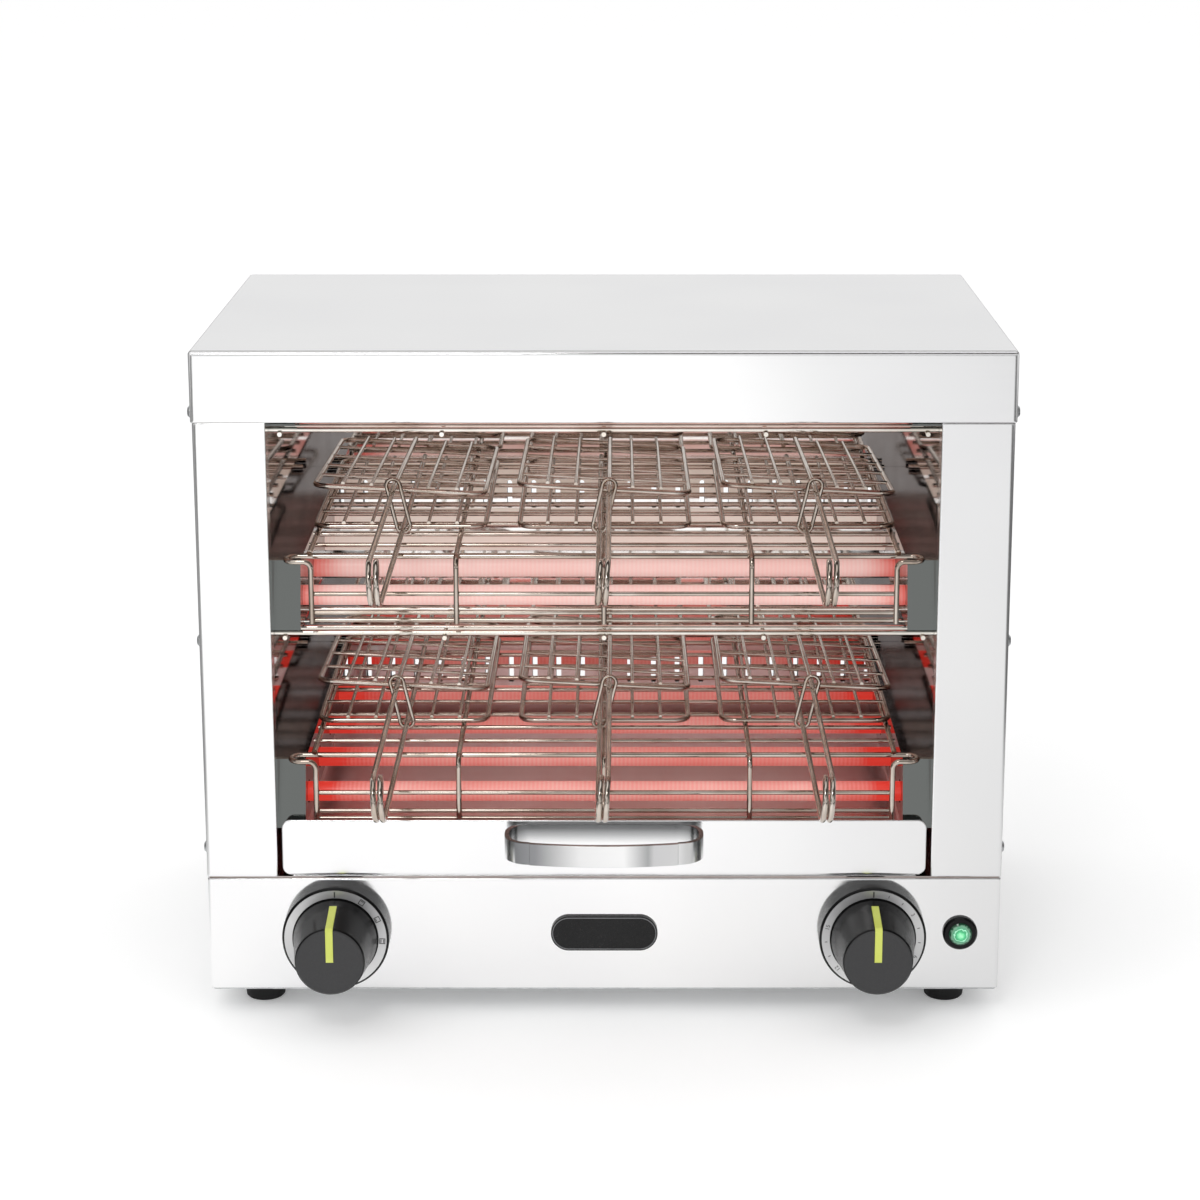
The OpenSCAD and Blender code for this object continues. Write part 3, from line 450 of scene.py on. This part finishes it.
def lit_quartz():
    """Frosted quartz tube, drawn and lit from inside: pale rose where the winding glows through it, red towards the
    channels, with the winding's turns as fine ribs 2.4 mm apart. The lowest row is painted redder than the two
    above it, with longer red ends, as painted shade for the lesser light that reaches it. The rear tubes of the
    upper two rows are given a cream glow as painted light."""
    material, tree, shader, where = start("lit_quartz")
    low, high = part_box("quartz_tubes")
    middle = (low.y + high.y) / 2
    row_gap = low.z + 0.02, low.z + 0.1
    parts = axes(tree, where)
    size_x = calc(tree, "ABSOLUTE", parts["X"])
    end = spread(tree, size_x, 0, 0.45, 0.146, 0.164)
    long_end = spread(tree, size_x, 0, 1, 0.11, 0.165)
    # Painted shade: the lowest row is pushed towards red, with longer red ends, for the lesser light that reaches
    # it.
    lowest = spread(tree, parts["Z"], 0.32, 0.0, *row_gap)
    upper = spread(tree, parts["Z"], 0, 1, *row_gap)
    rear = spread(tree, parts["Y"], 0, 0.85, middle - 0.01, middle + 0.01)
    ribs = {"Vector": where, "Scale": 131, "Distortion": 0.6}
    rib = add(tree, "TexWave", ribs, bands_direction="X").outputs["Fac"]
    heat = calc(tree, "MULTIPLY_ADD", rib, 0.08, end)
    heat = calc(tree, "MULTIPLY_ADD", noise(tree, where, 22, 2), 0.3, heat)
    # From here heat carries the lowest row's painted shade as well as the winding's heat.
    heat = calc(tree, "ADD", heat, lowest)
    heat = calc(tree, "MULTIPLY_ADD", long_end, lowest, heat)
    stops = [(0.1, "#f8dad4"), (0.3, "#f4bab3"), (0.5, "#ec7d75"), (0.7, "#ee584f"), (0.95, "#ff4438")]
    # Painted light: the rear tubes of the upper two rows glow cream.
    cream = calc(tree, "MULTIPLY", upper, rear)
    finish = {
        "Base Color": ramp(tree, heat, [(0.45, "#cfa69e"), (0.9, "#a03028")]),
        "Emission Color": mix(tree, cream, ramp(tree, heat, stops), linear("#fbf3e6")),
        "Emission Strength": 0.52,
        "Roughness": 0.28,
        "IOR": 1.46,
    }
    feed(tree, shader, finish)
    return material


def heating_wire():
    """Resistance wire, wound and at red heat: orange-red glow with an oxide skin."""
    material, tree, shader, where = start("heating_wire")
    tone = ramp(tree, noise(tree, where, 300, 2), [(0.3, "#b3301c"), (0.7, "#e8562f")])
    finish = {"Base Color": tone, "Emission Color": tone, "Emission Strength": 1.2, "Roughness": 0.6}
    feed(tree, shader, finish)
    return material


def green_lens():
    """Clear green acrylic lens over a lit lamp: glossy, bright in the middle where the lamp is, then a pale ring
    where the dome bends the light, then dark green at the edge. Prism facets of 1.4 mm break it up."""
    material, tree, shader, where = start("green_lens")
    low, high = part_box("pilot_lens")
    parts = axes(tree, placed(tree, where, Location=-(low + high) / 2))
    away = off_axis(tree, parts["X"], parts["Z"])
    share = spread(tree, away, 0, 1, 0, (high.x - low.x) / 2)
    facet = add(tree, "TexVoronoi", {"Vector": where, "Scale": 700}).outputs["Distance"]
    stops = [(0.12, "#a9f3c4"), (0.4, "#58c488"), (0.55, "#3f9d6b"), (0.62, "#aeeccb"), (0.7, "#4c9a72")]
    stops += [(0.88, "#6f9c82"), (1.0, "#183c29")]
    tone = ramp(tree, calc(tree, "MULTIPLY_ADD", facet, 0.16, share), stops)
    finish = {"Base Color": tone, "Emission Color": tone, "Emission Strength": 0.3, "Roughness": 0.06, "IOR": 1.49}
    feed(tree, shader, finish)
    return material


def printed_ink(name, dark, light):
    """Screen-printed ink: a flat film with the slight mottle of the mesh, drawn 0.4 mm wide."""
    material, tree, shader, where = start(name)
    mottle = noise(tree, where, 2500, 1)
    tone = ramp(tree, mottle, [(0.3, dark), (0.7, light)])
    feed(tree, shader, {"Base Color": tone, "Roughness": spread(tree, mottle, 0.45, 0.6)})
    return material


# Crumbs burn on to the rear wall up to this height, just above the tray's rear rim, and scouring has dulled the tray
# from this far behind its front
CRUMB_TOP = 0.108
DULL_BEHIND = 0.003

stainless = polished_stainless("polished_stainless")
tray_steel = polished_stainless("scoured_tray_stainless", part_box("crumb_tray")[0].y + DULL_BEHIND)
clear_liner = annealed_liner("bright_rear_liner", "#f4f2f0", "#eae3da", "#ddd5d0", CRUMB_TOP)
brown_liner = annealed_liner("browned_side_liner", "#bfb6b2", "#b0a298", "#9c8f8a")
zinc = zinc_sheet()
rack_wire = plated_wire("plated_rack_wire", "#d3c9bf", "#b3a497")
# Painted light: the guards get a lighter copy of the plated wire, for the light they catch from the front.
painted_lit_guard_wire = plated_wire("plated_guard_wire_painted_light", "#f3efe8", "#e0d8cd")
tong_wire = plated_wire("plated_tong_wire", "#d6cdc4", "#b8aa9d")
gloss_plastic = moulded("gloss_black_plastic", "#0a0a0b", "#0f0f10", 0.2, 0.28, 0.6, 0.02, 0.22)
plate_plastic = moulded("plate_black_plastic", "#0f0f10", "#151516", 0.24, 0.32, 0.6, 0.02, 0.28)
rim_plastic = moulded("plate_rim_plastic", "#6f7072", "#7b7c7e", 0.2, 0.3, 0.6, 0.02)
switch_plastic = moulded("grey_switch_plastic", "#4a4b4d", "#55565a", 0.45, 0.55, 0.8, 0.05)
lime_plastic = moulded("lime_pointer_plastic", "#c6cf55", "#d3db74", 0.35, 0.45, 0.6, 0.03)
ceramic = moulded("fired_ceramic", "#ddd8cb", "#ece8dd", 0.4, 0.55, 0.4, 0.06)
rubber = moulded("black_foot_rubber", "#161616", "#1e1e1e", 0.55, 0.7, 0.7, 0.1, 0.3)
silicone = moulded("red_lead_silicone", "#8f1d18", "#a3251f", 0.35, 0.45, 0.8, 0.05)
ink = printed_ink("dark_dial_ink", "#303031", "#3a3a3b")

dress(stainless, "top_cover", "side_panel_left", "side_panel_right", "rear_panel", "control_panel")
dress(tray_steel, "crumb_tray")
dress(zinc, "bottom_plate", "screws")
dress(clear_liner, "chamber_rear", "ceiling_reflector")
dress(brown_liner, "chamber_sides", "chamber_floor")
dress(blued_channel(), "tube_covers")
dress(lit_quartz(), "quartz_tubes")
dress(ceramic, "tube_caps", "terminal_block")
dress(rolled_brass(), "bus_bars")
dress(rack_wire, "rack_lower", "rack_upper")
dress(painted_lit_guard_wire, "tube_guards")
dress(pressed_handle(), "tray_handle")
dress(knob_phenolic(), "selector_knob", "timer_knob")
dress(lime_plastic, "selector_pointer", "timer_pointer")
dress(gloss_plastic, "knob_bezels", "pilot_housing", "cable_gland")
dress(plate_plastic, "name_plate")
dress(switch_plastic, "selector_switch", "timer_unit")
dress(dial_aluminium(), "dial_rings")
dress(green_lens(), "pilot_lens")
dress(rubber, "feet")
dress(silicone, "wiring")
dress(heating_wire(), "heater_cores")
for i in TONGS:
    dress(tong_wire, f"tongs_{i}_lower", f"tongs_{i}_upper", f"tongs_{i}_link", f"tongs_{i}_coil")


# Spring coils


def spring_coil(i):
    """Wire round a helix about X: the angle runs through one and a half turns from the lower arm's end to the upper
    arm's, X moves evenly with it, and a straight lead of one wire's thickness runs into each arm."""
    low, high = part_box(f"tongs_{i}_coil")
    wire_r = 0.0015
    mean_r = (high.z - low.z) / 2 - wire_r
    centre_y, centre_z = low.y + mean_r + wire_r, (low.z + high.z) / 2
    left, right = low.x + wire_r, high.x - wire_r
    first, last = (right, left) if i % 3 == 1 else (left, right)
    turn = np.linspace(0, 3 * np.pi, 121)
    out = np.stack([0 * turn, -np.sin(turn), -np.cos(turn)], -1)
    axis = np.stack([first + (last - first) * turn / turn[-1], 0 * turn + centre_y, 0 * turn + centre_z], -1)
    helix = axis + mean_r * out
    lead = np.linspace(2 * wire_r, 0.2 * wire_r, 6)
    before = np.stack([0 * lead + first, centre_y + lead, 0 * lead + helix[0, 2]], -1)
    after = np.stack([0 * lead + last, centre_y + lead[::-1], 0 * lead + helix[-1, 2]], -1)
    path = np.concatenate([before, helix, after])
    outward = np.concatenate([np.tile(out[:1], (len(lead), 1)), out, np.tile(out[-1:], (len(lead), 1))])
    made = mesh_piece(f"spring_coil_{i}", [tube(path, outward, wire_r, 20)], tong_wire, None)
    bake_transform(made)
    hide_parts(f"tongs_{i}_coil")


for i in TONGS:
    spring_coil(i)


# Screws


def cross_outline(half, arm, turn):
    """Outline of a cross, anticlockwise: arms of twice the half width, reaching arm from the middle, each edge cut
    in three, the whole turned by an angle."""
    corners = np.array([[arm, -half], [arm, half], [half, half]])
    angles = turn + np.arange(4) * np.pi / 2
    spin = [np.array([[np.cos(a), np.sin(a)], [-np.sin(a), np.cos(a)]]) for a in angles]
    corners = np.concatenate([corners @ matrix for matrix in spin])
    share = np.arange(3)[None, :, None] / 3
    return (corners[:, None] * (1 - share) + np.roll(corners, -1, axis=0)[:, None] * share).reshape(-1, 2)


def pan_screw(solid, turn):
    """One pan-head screw on the vertices of its CAD solid: rings from the floor of the cross recess up to its rim,
    out over the crown, down the head and along the shank. The solid's longest side is the screw's axis and its
    wide end the head."""
    head, head_r, crown_r, shank_r = 0.002, 0.0034, 0.00238, 0.0017
    low, high = solid.min(0), solid.max(0)
    axis = int(np.argmax(high - low))
    origin = (low + high) / 2
    wide = np.linalg.norm(np.delete(solid - origin, axis, axis=1), axis=1) > (head_r + shank_r) / 2
    side = np.sign(solid[wide, axis].mean() - origin[axis])
    origin[axis] = (high if side > 0 else low)[axis] - side * head
    along, first = np.eye(3)[axis] * side, np.eye(3)[(axis + 1) % 3]
    second = np.cross(along, first)
    cross = cross_outline(0.0005, 0.0019, turn)
    circle = cross / np.linalg.norm(cross, axis=1)[:, None]
    rings = [(0.75 * cross, 0.0009), (cross, 0.00195), (crown_r * circle, 0.0019), (head_r * circle, 0.0008)]
    rings += [(head_r * circle, 0), (shank_r * circle, 0), (shank_r * circle, head - (high - low)[axis])]
    points = [origin + flat @ np.stack([first, second]) + height * along for flat, height in rings]
    count = len(cross)
    faces = grid_faces(len(rings), count, False)[:, ::-1].tolist()
    faces.append(list(range(count)))
    faces.append(list(range(len(rings) * count))[: -count - 1 : -1])
    return np.concatenate(points), faces


def cross_screws():
    """All screws, each with its recess at another angle. Vertices of the CAD solid that share edges make one screw:
    every vertex takes the lowest number among its neighbours until nothing changes."""
    mesh = NODES["screws"].data
    points, same = merged_points(mesh, 6)
    pairs = np.empty(len(mesh.edges) * 2, np.int32)
    mesh.edges.foreach_get("vertices", pairs)
    a, b = same[pairs.reshape(-1, 2)].T
    label, before = np.arange(len(points)), np.full(len(points), -1)
    while (label != before).any():
        before = label.copy()
        lowest = np.minimum(label[a], label[b])
        np.minimum.at(label, a, lowest)
        np.minimum.at(label, b, lowest)
    next_turn = 2.4
    parts = [pan_screw(points[label == mark], next_turn * n) for n, mark in enumerate(np.unique(label))]
    made = mesh_piece("cross_screws", parts, zinc, "housing", smooth=False)
    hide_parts("screws")


cross_screws()


# Dials and plate

DIAL_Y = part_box("dial_rings")[0].y
PRINT_R = 0.0258
INK_PROUD, INK_SUNK = 0.00006, 0.0001


def on_dial(side, angle, along, across, deep):
    """Points on a dial's print circle: angle in degrees clockwise from the top, along is outwards, across is
    clockwise, and deep is into the dial."""
    a = np.radians(angle)
    outwards = np.array([np.sin(a), 0, np.cos(a)])
    clockwise = np.array([np.cos(a), 0, -np.sin(a)])
    face = np.array([side * KNOB_X, DIAL_Y, KNOB_Z]) + PRINT_R * outwards
    flat = np.asarray(along)[:, None] * outwards + np.asarray(across)[:, None] * clockwise
    return face + flat + np.asarray(deep)[:, None] * np.array([0, 1, 0])


def bar(side, angle, along, across, length, width):
    """A printed bar: a flat box with straight sides, proud of the dial by the ink's film."""
    u = np.tile(np.array([-1, 1, 1, -1]) * length / 2 + along, 2)
    v = np.tile(np.array([-1, -1, 1, 1]) * width / 2 + across, 2)
    deep = np.repeat([-INK_PROUD, INK_SUNK], 4)
    faces = [[3, 2, 1, 0], [4, 5, 6, 7], [0, 1, 5, 4], [1, 2, 6, 5], [2, 3, 7, 6], [3, 0, 4, 7]]
    return on_dial(side, angle, u, v, deep), faces


def numeral(side, angle, words, height):
    """A printed numeral: the outline of the built-in typeface, whose numerals are 0.7 of its size high, filled and
    given the ink's thickness, upright on the dial's radius."""
    curve = bpy.data.curves.new("numeral", "FONT")
    curve.body = words
    curve.align_x, curve.align_y = "CENTER", "CENTER"
    curve.size = height / 0.7
    curve.extrude = (INK_PROUD + INK_SUNK) / 2
    shape = bpy.data.objects.new("numeral", curve)
    mesh = bpy.data.meshes.new_from_object(shape)
    points, same = merged_points(mesh, 7)
    faces = [same[list(polygon.vertices)].tolist() for polygon in mesh.polygons]
    x, y, z = points.T
    bpy.data.objects.remove(shape)
    bpy.data.curves.remove(curve)
    bpy.data.meshes.remove(mesh)
    return on_dial(side, angle, y, x, (INK_SUNK - INK_PROUD) / 2 - z), faces


def dial_prints():
    """Selector: a stroke at the top, then a square sign each for the upper, lower and both levels. Timer: the same
    stroke, then minutes, with a numeral at each third and a short stroke between."""
    selector, timer = -1, 1
    line, square, minute_turn = 0.00045, 0.0032, 19
    parts = [bar(dial, 0, 0, 0, 0.0034, 0.0008) for dial in (selector, timer)]
    for angle, levels in ((35, (1,)), (64, (-1,)), (93, (1, -1))):
        for s in (-1, 1):
            parts.append(bar(selector, angle, s * 0.0014, 0, line, square))
            parts.append(bar(selector, angle, 0, s * 0.0014, square, line))
        parts += [bar(selector, angle, s * 0.0007, 0, line, 0.0019) for s in levels]
    for minute in range(1, 16):
        if minute % 3 == 0:
            parts.append(numeral(timer, minute_turn * minute, str(minute), 0.0022))
        else:
            parts.append(bar(timer, minute_turn * minute, 0, 0, 0.0014, 0.0004))
    mesh_piece("dial_prints", parts, ink, "housing", smooth=False)


def plate_rim():
    """Fine moulded rim round the bare plate: a half-sunk round bead carried along the plate's outline, which is two
    straight runs joined by half circles, drawn in by 0.9 mm."""
    low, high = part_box("name_plate")
    middle = (low + high) / 2
    drawn_in, bead_r = 0.0009, 0.00028
    radius = (high.z - low.z) / 2 - drawn_in
    run = (high.x - low.x) / 2 - (high.z - low.z) / 2
    turn = np.linspace(-np.pi / 2, np.pi / 2, 25)
    side = np.stack([run + radius * np.cos(turn), radius * np.sin(turn)], -1)
    outline = np.concatenate([side, -side])
    path = np.stack([middle.x + outline[:, 0], np.full(len(outline), low.y), middle.z + outline[:, 1]], -1)
    outward = np.stack([np.cos(turn), 0 * turn, np.sin(turn)], -1)
    bead = tube(path, np.concatenate([outward, -outward]), bead_r, 8, loop=True)
    mesh_piece("plate_rim", [bead], rim_plastic, "housing")


dial_prints()
plate_rim()


# Studio


def studio_floor():
    """White floor that runs far beyond the view and keeps the object's soft shadow. A little light of its own, for
    the eye, gloss and glass alone, takes it to plain white where nothing shades it. In gloss it greys slowly
    towards the right, away from the key lamp, and has the grey flags at both sides, and a grey board beside the
    left side, that outline polished edges."""
    material, tree, shader, where = start("studio_white")
    eye, gloss = ray_kinds(tree)
    parts = axes(tree, where)
    reach = 2.4
    flags = [(0.08, "#dedede"), (0.15, "#707070"), (0.33, "#707070"), (0.385, "#f2f2f2"), (0.505, "#fafafa")]
    flags += [(0.55, "#d9d9d9"), (0.6, "#d4d4d4"), (0.63, "#b8b8b8"), (0.66, "#666666"), (0.85, "#666666")]
    flags += [(0.92, "#d6d6d6")]
    grey = ramp(tree, spread(tree, parts["X"], 0, 1, -reach, reach), flags)
    left = spread(tree, parts["X"], 1, 0, -0.6, -0.3)
    beside = spread(tree, parts["Y"], 0, 1, FRONT_Y - 0.8, FRONT_Y - 0.3)
    grey = mix(tree, calc(tree, "MULTIPLY", left, beside), grey, linear("#8c8c8c"))
    tone = mix(tree, gloss, linear("#fafafa"), grey)
    finish = {
        "Base Color": tone,
        "Emission Color": tone,
        "Emission Strength": spread(tree, calc(tree, "ADD", gloss, eye), 0, 0.19),
        "Roughness": 0.9,
        "Specular IOR Level": 0.1,
    }
    feed(tree, shader, finish)
    size, sunk = 30, 0.0002
    corners = ((-size, -size), (size, -size), (size, size), (-size, size))
    mesh = bpy.data.meshes.new("floor")
    mesh.from_pydata([[x, y, -sunk] for x, y in corners], [], [[0, 1, 2, 3]])
    mesh.materials.append(material)
    floor = bpy.data.objects.new("floor", mesh)
    bpy.context.scene.collection.objects.link(floor)


def studio_world():
    """Even white room for the eye and a plain soft sky for light. In gloss it has dark flags to the left and right
    and a dark ceiling with a white panel overhead, as a studio for polished metal has, and a pale wall behind."""
    world = bpy.data.worlds.new("studio")
    bpy.context.scene.world = world
    world.use_nodes = True
    tree = world.node_tree
    tree.nodes.clear()
    parts = axes(tree, add(tree, "TexCoord").outputs["Generated"])
    flags = [(0.0, "#4a4846"), (0.2, "#cfcfcf"), (0.4, "#ececec"), (0.55, "#ececec"), (0.8, "#c4c4c4")]
    flags += [(1.0, "#4a4846")]
    across = ramp(tree, spread(tree, parts["X"], 0, 1, -0.95, 0.95), flags)
    walls = mix(tree, spread(tree, parts["Y"], 0, 1, 0.2, 0.7), across, linear("#ebebeb"))
    ceiling = ramp(tree, parts["Z"], [(0.5, "#4f4b49"), (0.88, "#4f4b49"), (0.94, "#ffffff")])
    room = mix(tree, spread(tree, parts["Z"], 0, 1, 0.35, 0.55), walls, ceiling)
    eye, gloss = ray_kinds(tree)
    shown = mix(tree, gloss, linear("#f0f0f0"), room)
    shown = mix(tree, eye, shown, linear("#ffffff"))
    back = add(tree, "Background", {"Color": shown, "Strength": 1.0})
    add(tree, "OutputWorld", {"Surface": back.outputs[0]})


def lamp(name, place, aim, size, power, mirrored=True):
    """Square soft lamp at a place, turned to an aim. One that isn't mirrored lights the object but doesn't show in
    polished metal."""
    data = bpy.data.lights.new(name, "AREA")
    data.size = size
    data.energy = power
    made = bpy.data.objects.new(name, data)
    made.location = place
    made.rotation_euler = (Vector(aim) - Vector(place)).to_track_quat("-Z", "Y").to_euler()
    made.visible_glossy = mirrored
    bpy.context.scene.collection.objects.link(made)


studio_floor()
studio_world()
AIM = (0, 0, 0.2)
lamp("key", (-1.6, -1.8, 2.2), AIM, 2.8, 16)
lamp("fill", (1.0, -2.4, 0.9), AIM, 1.6, 6, mirrored=False)
lamp("spark", (-0.3, -1.6, 1.7), AIM, 0.4, 4)
bpy.context.scene.view_settings.view_transform = "Standard"
